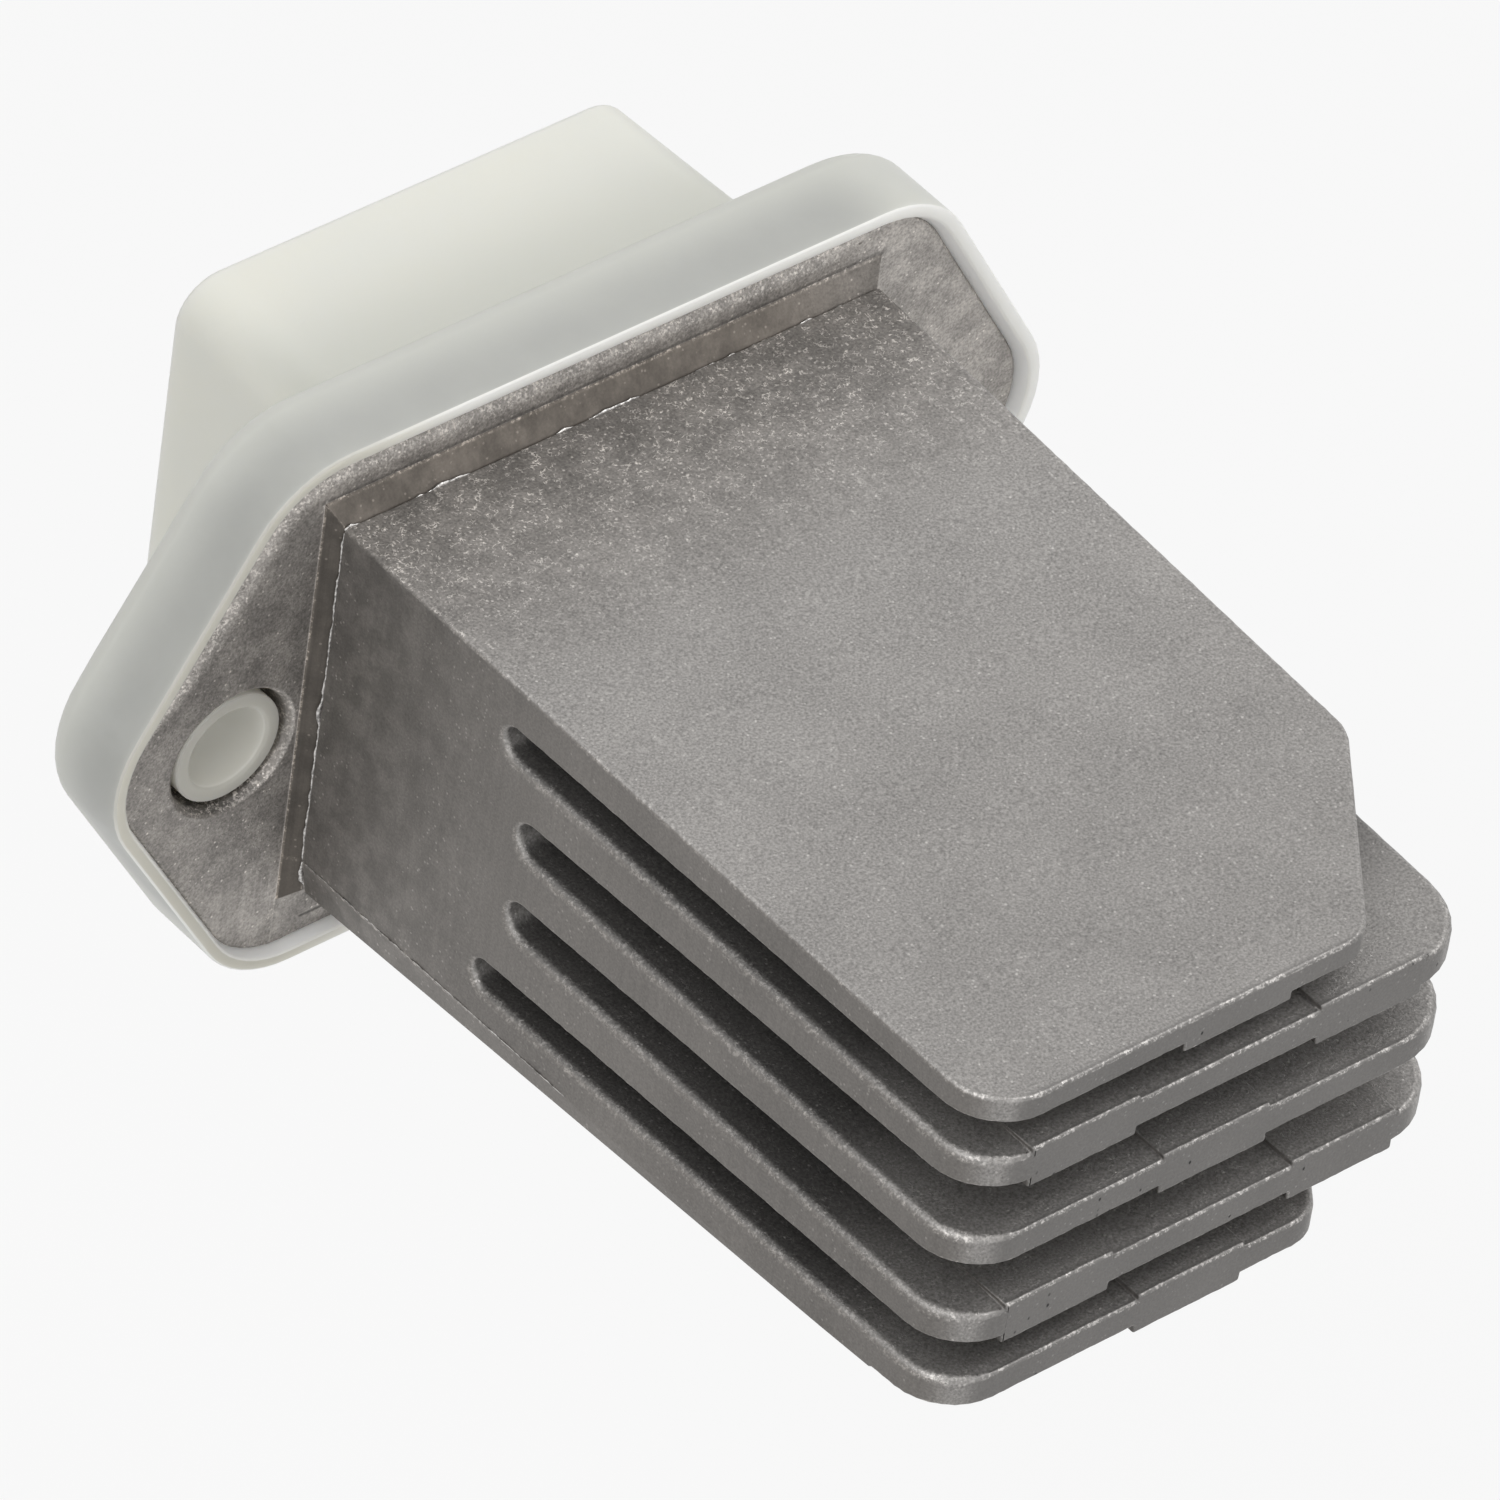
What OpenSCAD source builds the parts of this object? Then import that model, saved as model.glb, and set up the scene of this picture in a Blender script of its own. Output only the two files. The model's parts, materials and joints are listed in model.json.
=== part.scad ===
// Speed controller of a vehicle's heater blower. A die-cast heat sink with five fins
// seats its flange plate in a moulded housing, which holds the circuit board and the
// plug socket behind it. Millimetres. The fins point to -Y and Z is up. The origin lies
// midway between the two screw holes, on the front faces of their bosses.

/* [Rim] */
// Width of the six-sided rim between its sharp left and right corners
rim_w = 72.2; // [70:0.1:78]
// Height of the rim
rim_h = 39; // [38:0.1:43]
// Length of the rim's straight top and bottom sides between sharp corners
rim_side = 48; // [46:0.1:52]
// Radius of the rim's corners
rim_r = 7.5; // [6:0.1:9]
// Depth of the rim from its front edge to its back
rim_depth = 6.75; // [6.4:0.05:8]
// Width of the rim's front edge
rim_land = 0.85; // [0.7:0.05:1.2]
// Rounding of the rim's back edge
rim_round = 1; // [0.4:0.1:1.2]
// Height of the rim's middle above the line of the screw holes
rim_z = 1.1; // [0:0.1:1.5]
// How far the rim's front edge stands in front of the screw bosses
rim_proud = 1.2; // [0.9:0.1:1.5]

/* [Screw bosses] */
// Distance between the two screw holes
hole_spacing = 51; // [49:0.5:53]
// Diameter of the screw holes
hole_d = 5.5; // [4.5:0.1:6]
// Outer diameter of the tube round each screw hole
boss_d = 7.5; // [7:0.1:8]

/* [Connector box] */
// Width of the box behind the rim, at its end
box_w = 33.5; // [33:0.1:36]
// Height of the box, at its end
box_h = 32.8; // [32.5:0.1:34]
// Depth of the box from the back of the rim to its end
box_depth = 12.9; // [12.5:0.1:16]
// Radius of the box's long edges
box_r = 3; // [2:0.1:4]
// How much wider each side of the box is at the rim than at its end
box_draft = 0.4; // [0:0.05:0.6]
// Thickness of the box's walls
box_wall = 1.5; // [1.2:0.1:1.8]
// Width of the plug socket
socket_w = 26; // [25:0.1:27]
// Height of the plug socket
socket_h = 10.5; // [10:0.1:11]
// Depth of the plug socket
socket_depth = 9; // [8:0.1:9.2]
// Thickness of the socket's walls and floor
socket_wall = 1.3; // [1:0.1:1.6]
// Rounding of the socket's corners
socket_r = 1; // [0.5:0.1:2]

/* [Flange plate] */
// How far the plate lies below the rim's front edge
plate_recess = 0.8; // [0.5:0.05:1]
// Thickness of the plate
plate_t = 3.9; // [3.4:0.1:4.2]
// Gap between the plate's edge and the rim
plate_gap = 0.4; // [0.2:0.05:0.6]
// Chamfer round the plate's front edge
plate_edge = 1.4; // [0.4:0.1:1.8]
// Gap between a screw boss and its hole in the plate
boss_gap = 0.45; // [0.1:0.05:0.6]
// Chamfer of the plate's screw holes
hole_edge = 0.6; // [0.2:0.05:0.8]

/* [Fin block] */
// Width of the block at its parting line, next to the plate
block_w = 40; // [38:0.1:42]
// Height of the block at its parting line
block_h = 28.2; // [27:0.1:30]
// Length of the block from its parting line to the fin ends
block_len = 56.2; // [45:0.1:65]
// Width of the block at the fin ends
tip_w = 37.8; // [36:0.1:39]
// Height of the block at the fin ends
tip_h = 23.5; // [22.8:0.1:24.4]
// Height of the middle of the fin ends above the middle of the rim
tip_rise = 0.45; // [0.2:0.05:0.6]
// Length of the neck between the plate and the block's parting line
neck_len = 1.05; // [0.8:0.05:1.5]
// How far the neck lies inside the block all round
neck_step = 0.25; // [0.1:0.05:0.5]
// How far the neck flares where it meets the plate
neck_flare = 0.6; // [0.3:0.1:1.2]
// Height of the strip below the parting line of each side, next to the plate
strip_h = 2.6; // [1:0.1:3.2]
// How far that strip draws in there
strip_in = 0.5; // [0.2:0.05:0.8]
// Length over which the strip runs out into the side
strip_len = 46; // [30:1:54]

/* [Fins] */
// Height of the middle fin above the middle of the rim
fin_rise = 0.6; // [0:0.1:0.8]
// Height of the inner slots above and below the middle fin
inner_slot_z = 3; // [2.8:0.05:3.2]
// Distance from the parting line to the closed end of the inner slots
inner_slot_start = 16.9; // [15:0.1:22]
// Width of the inner slots at their closed end
inner_slot_w = 2.6; // [2:0.1:2.8]
// Width of the inner slots at the fin ends
inner_slot_mouth = 4.05; // [3.5:0.05:4.2]
// Height of the outer slots above and below the middle fin, at their closed end
outer_slot_z = 8.9; // [8.6:0.05:9.2]
// How far the outer slots lean inwards towards the fin ends
outer_slot_lean = 0.45; // [0:0.05:0.6]
// Distance from the parting line to the closed end of the outer slots
outer_slot_start = 14.8; // [13:0.1:20]
// Width of the outer slots at their closed end
outer_slot_w = 2.3; // [2:0.1:2.6]
// Width of the outer slots at the fin ends
outer_slot_mouth = 2.9; // [2.6:0.05:3.2]
// Corner radius of the fin ends on the left
tip_r_left = 4; // [2:0.1:5]
// Corner radius of the inner fins' ends on the right
tip_r_right = 5; // [2:0.1:6]
// Width of the cut across the outer fins' right corner
corner_cut_w = 9.9; // [6:0.1:11]
// Length of that cut along the fin
corner_cut_len = 13.4; // [8:0.1:15]
// Rounding of the ends of that cut
corner_cut_r = 3; // [1:0.1:4]

/* [Ejector pads] */
// Width of the thickened pads on the fin ends
pad_w = 8; // [6:0.1:8.5]
// Length of the pads, over which they run out into the fin
pad_len = 10; // [5:0.5:15]
// How far a pad stands out above its fin at the end
pad_rise = 0.38; // [0.2:0.02:0.5]
// How far it stands out below
pad_drop = 0.62; // [0.3:0.02:0.8]
// Distance of the side pads from the middle pads
pad_x = 10.7; // [10:0.1:11]
// Sideways place of the middle pads
pad_shift = -0.4; // [-0.5:0.1:0.5]

/* [Transistors] */
// Width of the pocket in the back of the heat sink
pocket_w = 27; // [25:0.1:28]
// Height of the pocket
pocket_h = 18.6; // [18.4:0.1:19]
// Depth of the pocket
pocket_depth = 7; // [6.6:0.1:8]
// Distance of each transistor from the middle of the pocket
transistor_x = 6.6; // [6:0.1:7]
// Width of a transistor
transistor_w = 10.2; // [9.5:0.1:10.6]
// Height of a transistor with its metal tab
transistor_h = 15.2; // [15:0.1:15.4]
// Height of a transistor's moulded body
transistor_body_h = 9.2; // [8.5:0.1:9.4]
// Thickness of the metal tab
tab_t = 1.3; // [1:0.1:1.5]
// Thickness of the moulded body on the tab
body_t = 3.1; // [2.8:0.1:3.4]
// Thickness of the insulating film under the tabs
film_t = 0.25; // [0.15:0.05:0.4]
// Distance between a transistor's leads
lead_pitch = 2.54; // [2:0.02:2.6]
// Diameter of the transistor screws
tab_screw_d = 2.8; // [2.5:0.1:3]

/* [Circuit board] */
// Thickness of the board
board_t = 1.6; // [1.2:0.1:1.8]
// Gap between the board's edge and the box
board_gap = 0.7; // [0.4:0.1:1]
// Height of the posts under the board
post_h = 1.5; // [1.2:0.1:1.8]
// Diameter of the posts
post_d = 4; // [3.6:0.1:4.4]
// Distance of each post from the board's edges
post_inset = 2.6; // [2.4:0.1:3]
// Diameter of the board screws
board_screw_d = 2; // [1.8:0.1:2.2]
// Diameter of the capacitor
capacitor_d = 8; // [7:0.1:8.4]
// Height of the capacitor
capacitor_h = 9; // [7:0.1:9.5]
// Diameter of the freewheel diode
diode_d = 5; // [4:0.1:5.2]
// Length of the freewheel diode
diode_len = 8; // [7:0.1:8.5]

/* [Terminals] */
// Width of the two power blades
power_blade_w = 6.3; // [5.5:0.1:6.5]
// Width of the two signal blades
signal_blade_w = 2.8; // [2.2:0.1:3]
// Thickness of the blades
blade_t = 0.8; // [0.6:0.05:1]
// Distance of each power blade from the middle of the socket
power_blade_x = 8.6; // [8.4:0.1:8.8]
// Distance of each signal blade from the middle of the socket
signal_blade_x = 2.4; // [2.2:0.1:2.6]
// How far the blades end below the mouth of the socket
blade_below = 1.8; // [1:0.1:3]

/* [Hidden] */
$fn = 48;

// Cutters run past the faces that they open
over = 1;
// Free play of pieces that slip into one another
play = 0.1;
corner_steps = 8;

// Planes across the part, from the fin ends to the end of the box
rim_front = -rim_proud;
plate_front = rim_front + plate_recess;
plate_back = plate_front + plate_t;
rim_back = rim_front + rim_depth;
box_end = rim_back + box_depth;
parting_y = plate_front - neck_len;
tip_y = parting_y - block_len;
pocket_floor = plate_back - pocket_depth;
board_front = plate_back + post_h;
board_back = board_front + board_t;
socket_floor = box_end - socket_depth;
socket_base = socket_floor - socket_wall;

// Room in the box, and the socket in its lower half
inner_w = box_w - 2 * box_wall;
inner_h = box_h - 2 * box_wall;
inner_r = box_r - box_wall / 2;
inner_bottom = rim_z - inner_h / 2;
socket_z = inner_bottom + socket_wall / 2 + socket_h / 2;
socket_top = socket_z + socket_h / 2 + socket_wall;
board_w = inner_w - 2 * board_gap;
board_h = inner_h - 2 * board_gap;
post_x = board_w / 2 - post_inset;
post_z = board_h / 2 - post_inset;

// Slots from the top one down: closed end, height there and at the fin ends, widths
fin_z = rim_z + fin_rise;
tip_z = rim_z + tip_rise;
outer_slot_tip = outer_slot_z - outer_slot_lean;
SLOTS = [for (side = [1, -1]) each side > 0
    ? [[outer_slot_start, outer_slot_z, outer_slot_tip, outer_slot_w, outer_slot_mouth],
       [inner_slot_start, inner_slot_z, inner_slot_z, inner_slot_w, inner_slot_mouth]]
    : [[inner_slot_start, -inner_slot_z, -inner_slot_z, inner_slot_w, inner_slot_mouth],
       [outer_slot_start, -outer_slot_z, -outer_slot_tip, outer_slot_w, outer_slot_mouth]]];
// Upper and lower face of each fin at its end
FIN_ENDS = [for (i = [0 : len(SLOTS)])
    [i == 0 ? tip_z + tip_h / 2 : fin_z + SLOTS[i - 1][2] - SLOTS[i - 1][4] / 2,
     i == len(SLOTS) ? tip_z - tip_h / 2 : fin_z + SLOTS[i][2] + SLOTS[i][4] / 2]];

// Groove in the rim's floor that holds the sealant under the plate's edge
sealant_inset = rim_land + plate_gap + 0.8;
sealant_w = 1.2;
sealant_t = 0.8;

// Transistors stand in the pocket with their tabs up
pocket_r = 1;
pocket_room = 0.9;
transistor_top = rim_z + pocket_h / 2 - pocket_room;
transistor_bottom = transistor_top - transistor_h;
tab_back = pocket_floor + film_t;
tab_face = tab_back + tab_t;
tab_hole_drop = 3;
tab_hole_z = transistor_top - tab_hole_drop;
tab_hole_d = tab_screw_d + 8 * play;
tab_screw_len = 6;
tab_head_d = 5;
tab_head_h = 1.8;
film_margin = 0.4;
body_draw = 0.3;

// Leads leave a transistor above its tab, drop, and turn back into the board
lead_w = 0.8;
lead_t = 0.5;
lead_lift = 1;
lead_drop = 0.6;
lead_stub = 0.6;
lead_y = tab_face + lead_lift;
lead_z = transistor_bottom - lead_drop;
lead_end = board_back + lead_stub;

board_screw_len = 5;
board_head_d = 3.8;
board_head_h = 1;
// Width of the cross recess in the screw heads
recess_w = 0.5;

// Terminals: sideways place, width of the blade and of its tail in the board
power_tail_w = 3;
signal_tail_w = 1.6;
tail_stub = 0.9;
TERMINALS = [[-power_blade_x, power_blade_w, power_tail_w], [-signal_blade_x, signal_blade_w, signal_tail_w],
             [signal_blade_x, signal_blade_w, signal_tail_w], [power_blade_x, power_blade_w, power_tail_w]];
blade_tip = box_end - blade_below;
tail_end = board_front - tail_stub;

// Small parts on the board: sizes along X, off the board and along Z, with pitches and feet
wire_d = 0.9;
diode_reach = 1.5;
shunt_span = 9;
shunt_rise = 3.6;
surge_size = [3.4, 2.2, 4.2];
surge_foot = [2.2, 1.1, 0.6];
chip_size = [4.9, 1.5, 3.9];
chip_foot = [0.4, 0.2, 1.1];
chip_pitch = 1.27;
resistor_size = [2, 0.55, 1.2];
resistor_pitch = [2.3, 2.2];
ceramic_size = [1.2, 0.9, 2];
ceramic_pitch = 2.8;

// Places on the back of the board, from its middle: a row along the upper edge, and below it
// the can at the left edge, the ceramics at the right edge and the long parts between them
edge_room = 1;
row_drop = 3.2;
row_gap = 0.5;
can_drop = 6;
ceramic_drop = 7.4;
shunt_drop = 9.3;
upper_row = board_h / 2 - row_drop;
resistors_w = 2 * resistor_pitch.x + resistor_size.x;
row_left = -(resistors_w + chip_size.x + surge_size.x + 2 * row_gap) / 2;
resistors_at = [row_left + resistors_w / 2, upper_row];
chip_at = [row_left + resistors_w + row_gap + chip_size.x / 2, upper_row];
surge_at = [-row_left - surge_size.x / 2, upper_row];
capacitor_at = [-board_w / 2 + edge_room + capacitor_d / 2, upper_row - can_drop];
capacitors_at = [board_w / 2 - edge_room - ceramic_size.x / 2, upper_row - ceramic_drop];
diode_x = (capacitor_at.x + capacitor_d / 2 + capacitors_at.x - ceramic_size.x / 2) / 2;
diode_at = [diode_x, upper_row - can_drop];
shunt_at = [diode_x, upper_row - shunt_drop];

aluminium = [0.58, 0.57, 0.55];
nylon = [0.86, 0.86, 0.82];
epoxy = [0.1, 0.1, 0.11];
tin = [0.76, 0.76, 0.74];

// Direction from one point to another
function toward(a, b) = (b - a) / norm(b - a);

// A plane vector turned by an angle
function spin(v, angle) =
    [v.x * cos(angle) - v.y * sin(angle), v.x * sin(angle) + v.y * cos(angle)];

// Anticlockwise outline with corner i rounded to radii[i]
function rounded(points, radii) = [
    for (i = [0 : len(points) - 1])
        let (c = points[i],
             r = radii[i],
             u = toward(c, points[(i + len(points) - 1) % len(points)]),
             w = toward(c, points[(i + 1) % len(points)]),
             half = acos(u * w) / 2,
             mid = c + (u + w) / norm(u + w) * r / sin(half),
             first = c + u * r / tan(half) - mid)
        each r == 0 ? [c]
            : [for (k = [0 : corner_steps]) mid + spin(first, (180 - 2 * half) * k / corner_steps)]
];

// Corners of a rectangle about the origin
function rect(w, h) = [[w / 2, h / 2], [-w / 2, h / 2], [-w / 2, -h / 2], [w / 2, -h / 2]];

// Sharp corners of the rim's outline moved in by an inset
function rim_corners(inset) =
    let (a = rim_w / 2,
         drop = a - rim_side / 2,
         h = rim_h / 2,
         n = [h, drop] / norm([h, drop]),
         reach = n.x * a - inset,
         top = h - inset,
         top_x = (reach - n.y * top) / n.x)
    [[reach / n.x, 0], [top_x, top], [-top_x, top], [-reach / n.x, 0], [-top_x, -top], [top_x, -top]];

// Outline of the rim, moved in by an inset
module rim_outline(inset) {
    polygon(rounded(rim_corners(inset), [for (i = [0 : 5]) rim_r - inset]));
}

// A rectangle with rounded corners
module rounded_rect(w, h, r) {
    polygon(rounded(rect(w, h), [r, r, r, r]));
}

// Extrudes an XZ outline from one plane to another
module slab(y0, y1) {
    translate([0, y1, 0]) rotate([90, 0, 0]) linear_extrude(y1 - y0) children();
}

// A slab about height z that starts at y0 and changes size by share until it ends at y1
module tapered_slab(y0, y1, z, share) {
    translate([0, y0, z]) rotate([y1 > y0 ? -90 : 90, 0, 0])
        linear_extrude(abs(y1 - y0), scale = share, slices = 1) children();
}

// A round bar along Y
module bar(d, x, z, y0, y1) {
    translate([x, y0, z]) rotate([-90, 0, 0]) cylinder(d = d, h = y1 - y0);
}

// A box between two corners
module block(low, high) {
    translate(low) cube(high - low);
}

// A box of a given size that stands on the plane Y = 0
module chip(size) {
    translate([-size.x / 2, 0, -size.z / 2]) cube(size);
}

// Copies at the two screw holes
module at_holes() {
    for (x = [-hole_spacing / 2, hole_spacing / 2]) translate([x, 0, 0]) children();
}

// Copies at the four posts of the board
module at_posts() {
    for (x = [-post_x, post_x], z = [-post_z, post_z]) translate([x, 0, rim_z + z]) children();
}

// The flange plate with its chamfered front edge
module flange_plate() {
    inset = rim_land + plate_gap;
    wide = rim_corners(inset);
    narrow = rim_corners(inset + plate_edge);
    share = [narrow[0].x / wide[0].x, narrow[1].y / wide[1].y];
    translate([0, 0, rim_z]) slab(plate_front + plate_edge, plate_back) rim_outline(inset);
    tapered_slab(plate_front + plate_edge, plate_front, rim_z, share) rim_outline(inset);
}

// The neck flares into the plate and ends inside the block
module neck() {
    size = [block_w, block_h] - [2, 2] * neck_step;
    foot = size + [2, 2] * neck_flare;
    tapered_slab(plate_front, parting_y, rim_z, [size.x / foot.x, size.y / foot.y])
        square(foot, center = true);
}

// One slot seen from the side: a round closed end and flanks that open towards the fin ends
module slot_profile(slot) {
    y0 = parting_y - slot[0] - slot[3] / 2;
    y1 = tip_y - over;
    root = fin_z + slot[1];
    mouth = fin_z + slot[2];
    polygon(concat(
        [for (k = [0 : 2 * corner_steps])
            let (a = 90 - 180 * k / (2 * corner_steps)) [y0, root] + slot[3] / 2 * [cos(a), sin(a)]],
        [[y1, mouth - slot[4] / 2], [y1, mouth + slot[4] / 2]]));
}

// The fin block seen from the side
module fin_profile() {
    difference() {
        polygon([[parting_y, rim_z - block_h / 2], [parting_y, rim_z + block_h / 2],
                 [tip_y, tip_z + tip_h / 2], [tip_y, tip_z - tip_h / 2]]);
        for (slot = SLOTS) slot_profile(slot);
    }
}

// The fin block seen from above: the inner fins, then the outer ones with a corner cut off
module inner_fin_plan() {
    polygon(rounded([[-block_w / 2, parting_y], [-tip_w / 2, tip_y],
                     [tip_w / 2, tip_y], [block_w / 2, parting_y]],
                    [0, tip_r_left, tip_r_right, 0]));
}

module outer_fin_plan() {
    side_x = tip_w / 2 + (block_w - tip_w) / 2 * corner_cut_len / block_len;
    polygon(rounded([[-block_w / 2, parting_y], [-tip_w / 2, tip_y], [tip_w / 2 - corner_cut_w, tip_y],
                     [side_x, tip_y + corner_cut_len], [block_w / 2, parting_y]],
                    [0, tip_r_left, corner_cut_r, corner_cut_r, 0]));
}

// Pads that the ejector pins push on: one on fins 1, 3 and 5, two on fins 2 and 4
module ejector_pad(fin, x) {
    top = FIN_ENDS[fin][0];
    bottom = FIN_ENDS[fin][1];
    top_rise = fin == 0 ? 0 : pad_rise;
    translate([x - pad_w / 2, 0, 0]) rotate([90, 0, 90]) linear_extrude(pad_w)
        polygon([[tip_y, bottom - pad_drop], [tip_y + pad_len, bottom],
                 [tip_y + pad_len, top], [tip_y, top + top_rise]]);
}

module ejector_pads() {
    intersection() {
        for (fin = [0 : len(FIN_ENDS) - 1], side = fin % 2 == 0 ? [0] : [-1, 1])
            ejector_pad(fin, pad_shift + side * pad_x);
        translate([0, 0, fin_z - block_h]) linear_extrude(2 * block_h) inner_fin_plan();
    }
}

// Wedge that draws in the strip below the parting line of the left side, and runs out along it
module parting_wedge() {
    share = strip_len / block_len;
    low = [-block_w / 2, parting_y, rim_z - block_h / 2];
    low_tip = [-tip_w / 2, tip_y, tip_z - tip_h / 2];
    draw = [strip_in, 0, -strip_h];
    side = [-strip_in, 0, -strip_h];
    top = low + [0, over, strip_h];
    polyhedron(
        points = [top - draw / 2, top + 1.5 * draw, top + 1.5 * side, low + (low_tip - low) * share],
        faces = [[2, 1, 0], [0, 1, 3], [1, 2, 3], [2, 0, 3]]);
}

module fin_block() {
    split = (outer_slot_z + outer_slot_tip) / 2;
    intersection() {
        rotate([90, 0, 90]) translate([0, 0, -block_w]) linear_extrude(2 * block_w) fin_profile();
        union() {
            translate([0, 0, fin_z - split]) linear_extrude(2 * split) inner_fin_plan();
            translate([0, 0, fin_z + split]) linear_extrude(block_h) outer_fin_plan();
            translate([0, 0, fin_z - split - block_h]) linear_extrude(block_h) outer_fin_plan();
        }
    }
    ejector_pads();
}

// Holes of the plate round the screw bosses, with a chamfered mouth
module plate_holes() {
    d = boss_d + 2 * boss_gap;
    at_holes() {
        bar(d, 0, 0, plate_front - over, plate_back + over);
        translate([0, plate_front, 0]) rotate([-90, 0, 0])
            cylinder(d1 = d + 2 * hole_edge, d2 = d, h = hole_edge);
    }
}

module heat_sink() {
    color(aluminium) difference() {
        union() {
            flange_plate();
            neck();
            difference() {
                fin_block();
                parting_wedge();
                mirror([1, 0, 0]) parting_wedge();
            }
            at_posts() bar(post_d, 0, 0, plate_back - over, board_front);
        }
        plate_holes();
        translate([0, 0, rim_z]) slab(pocket_floor, plate_back + over)
            rounded_rect(pocket_w, pocket_h, pocket_r);
        for (x = [-transistor_x, transistor_x])
            bar(tab_screw_d + play, x, tab_hole_z, tab_face - tab_screw_len - over, pocket_floor + over);
        at_posts() bar(board_screw_d + play, 0, 0, board_back - board_screw_len - over, board_front + over);
    }
}

// A ring of sealant under the plate's edge, or the groove for it
module sealant_ring(y0, y1) {
    translate([0, 0, rim_z]) slab(y0, y1) difference() {
        rim_outline(sealant_inset);
        rim_outline(sealant_inset + sealant_w);
    }
}

// The outside of the housing: the rim with its tapered back edge, and the drafted box
module housing_shell() {
    back = rim_corners(rim_round);
    front = rim_corners(0);
    foot = [box_w, box_h] + [2, 2] * box_draft;
    share = [back[0].x / front[0].x, back[1].y / front[1].y];
    translate([0, 0, rim_z]) slab(rim_front, rim_back - rim_round) rim_outline(0);
    tapered_slab(rim_back - rim_round, rim_back, rim_z, share) rim_outline(0);
    tapered_slab(rim_back - over, box_end, rim_z, [box_w / foot.x, box_h / foot.y])
        rounded_rect(foot.x, foot.y, box_r);
}

// The room behind the plate, with the plug socket's walls left standing in it
module housing_room() {
    difference() {
        translate([0, 0, rim_z]) slab(plate_back - over, box_end - box_wall)
            rounded_rect(inner_w, inner_h, inner_r);
        block([-inner_w, socket_base, inner_bottom - over], [inner_w, box_end, socket_top]);
    }
}

module housing() {
    color(nylon) difference() {
        housing_shell();
        difference() {
            translate([0, 0, rim_z]) slab(rim_front - over, plate_back) rim_outline(rim_land);
            at_holes() bar(boss_d, 0, 0, 0, plate_back + over);
        }
        at_holes() bar(hole_d, 0, 0, -over, rim_back + over);
        sealant_ring(plate_back - over, plate_back + sealant_t);
        housing_room();
        translate([0, 0, socket_z]) slab(socket_floor, box_end + over)
            rounded_rect(socket_w, socket_h, socket_r);
        for (t = TERMINALS)
            translate([t[0], 0, socket_z]) slab(socket_base - over, socket_floor + over)
                square([t[1] + play, blade_t + play], center = true);
    }
}

module sealant_bead() {
    color([0.35, 0.36, 0.37]) sealant_ring(plate_back, plate_back + sealant_t);
}

// The board with holes for its screws, the terminals' tails and the transistors' leads
module circuit_board() {
    color([0.16, 0.36, 0.2]) difference() {
        translate([0, 0, rim_z]) slab(board_front, board_back)
            rounded_rect(board_w, board_h, inner_r - board_gap / 2);
        at_posts() bar(board_screw_d + 4 * play, 0, 0, board_front - over, board_back + over);
        for (t = TERMINALS)
            translate([t[0], 0, socket_z]) slab(board_front - over, board_back + over)
                square([t[2] + 2 * play, blade_t + 2 * play], center = true);
        for (x = [-transistor_x, transistor_x], k = [-1 : 1])
            bar(lead_w + 4 * play, x + k * lead_pitch, lead_z, board_front - over, board_back + over);
    }
}

// Insulating films between the tabs and the heat sink
module insulating_films() {
    color([0.78, 0.72, 0.6]) for (x = [-transistor_x, transistor_x]) difference() {
        block([x - transistor_w / 2 - film_margin, pocket_floor, transistor_bottom - film_margin],
              [x + transistor_w / 2 + film_margin, tab_back, transistor_top + film_margin]);
        bar(tab_hole_d, x, tab_hole_z, pocket_floor - over, tab_back + over);
    }
}

// Metal tab of a transistor and its three leads, which turn back into the board
module transistor_tab(x) {
    half = transistor_w / 2;
    color(tin) {
        difference() {
            block([x - half, tab_back, transistor_bottom], [x + half, tab_face, transistor_top]);
            bar(tab_hole_d, x, tab_hole_z, tab_back - over, tab_face + over);
        }
        for (k = [-1 : 1]) translate([x + k * lead_pitch - lead_w / 2, 0, 0]) {
            block([0, lead_y, lead_z - lead_t / 2], [lead_w, lead_y + lead_t, transistor_bottom]);
            block([0, lead_y, lead_z - lead_t / 2], [lead_w, lead_end, lead_z + lead_t / 2]);
        }
    }
}

// Moulded body of a transistor, with drafted long sides
module transistor_body(x) {
    half = transistor_w / 2;
    body_face = tab_face + body_t;
    color(epoxy) translate([x, 0, transistor_bottom]) linear_extrude(transistor_body_h)
        polygon([[-half, tab_face], [half, tab_face],
                 [half - body_draw, body_face], [body_draw - half, body_face]]);
}

module left_transistor_tab() { transistor_tab(-transistor_x); }
module right_transistor_tab() { transistor_tab(transistor_x); }
module left_transistor_body() { transistor_body(-transistor_x); }
module right_transistor_body() { transistor_body(transistor_x); }

// A screw along Y with its head at the back, resting on seat
module screw(d, length, head_d, head_h, seat) {
    bar(d, 0, 0, seat - length, seat);
    difference() {
        bar(head_d, 0, 0, seat, seat + head_h);
        for (turn = [0, 90]) translate([0, seat + head_h / 2, 0]) rotate([0, turn, 0])
            chip([head_d / 2, head_h, recess_w]);
    }
}

module transistor_screws() {
    color(tin) for (x = [-transistor_x, transistor_x])
        translate([x, 0, tab_hole_z]) screw(tab_screw_d, tab_screw_len, tab_head_d, tab_head_h, tab_face);
}

module board_screws() {
    color(tin) at_posts() screw(board_screw_d, board_screw_len, board_head_d, board_head_h, board_back);
}

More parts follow.
